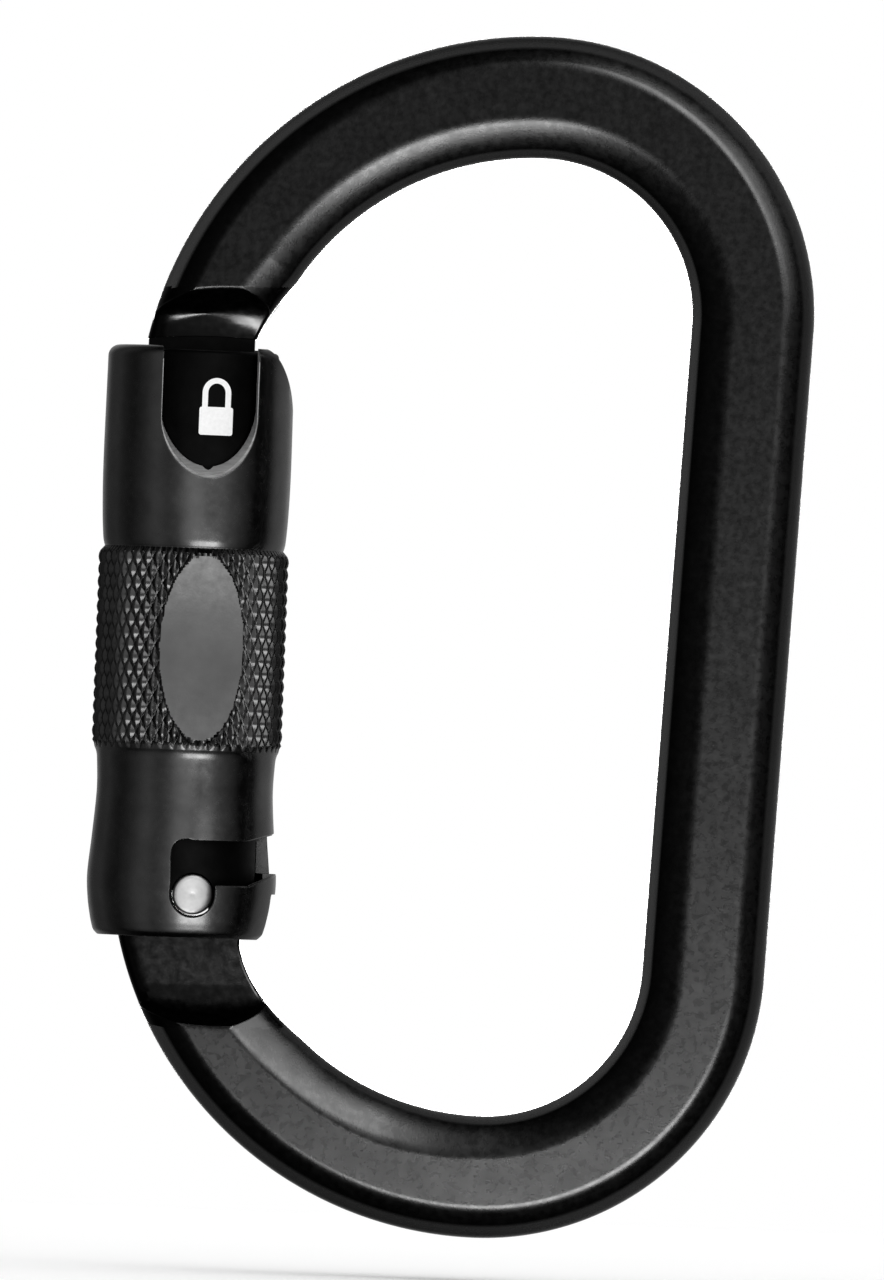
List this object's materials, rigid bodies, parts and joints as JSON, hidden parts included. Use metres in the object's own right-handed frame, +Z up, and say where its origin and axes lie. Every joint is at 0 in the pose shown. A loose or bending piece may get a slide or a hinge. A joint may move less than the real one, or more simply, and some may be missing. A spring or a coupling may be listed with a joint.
{
  "type": "locking carabiner",
  "caption": "Oval-backed aluminium carabiner whose hinged gate is locked by a spring-loaded pull-and-twist sleeve.",
  "frame": {"origin": "centre of the object's bounding box, with the gate closed and locked", "axes": "+Z up along the gate, from its hinge to its closing end; +X from the gate towards the frame's spine; -Y is the front face, the side with the sleeve's window"},
  "size_m": [0.0654, 0.0176, 0.1112],
  "materials": {
    "frame_anodised": "black anodised, satin",
    "gate_anodised": "black anodised, satin",
    "sleeve_anodised": "black anodised, semi-gloss, with bright edges at the window",
    "pin_steel": "turned stainless steel",
    "spring_steel": "drawn spring wire",
    "ring_steel": "stamped spring steel"
  },
  "bodies": {
    "frame": {"frame": "frame_anodised"},
    "gate": {"gate": "gate_anodised", "hinge_pin": "pin_steel", "gate_spring": "spring_steel", "sleeve_spring": "spring_steel"},
    "plunger": {"gate_plunger": "pin_steel"},
    "slider": {"thrust_washer": "ring_steel"},
    "sleeve": {"locking_sleeve": "sleeve_anodised", "retaining_ring": "ring_steel"}
  },
  "joints": [
    {"name": "gate_swing", "type": "hinge", "parent": "frame", "child": "gate", "pos_m": [-0.02271, 0, -0.0249], "axis": [0, 1, 0], "range_deg": [0, 22]},
    {"name": "plunger_slide", "type": "slide", "parent": "gate", "child": "plunger", "axis": [0, 0, 1], "range_m": [0, 0.0006], "deforming": ["gate_spring"]},
    {"name": "sleeve_slide", "type": "slide", "parent": "gate", "child": "slider", "axis": [0, 0, -1], "range_m": [0, 0.003], "deforming": ["sleeve_spring"]},
    {"name": "sleeve_turn", "type": "hinge", "parent": "slider", "child": "sleeve", "pos_m": [-0.02386, 0, 0], "axis": [0, 0, -1], "range_deg": [0, 90]}
  ],
  "couplings": [
    {"joint": "plunger_slide", "follows": "gate_swing", "m_per_rad": 0.00156}
  ]
}
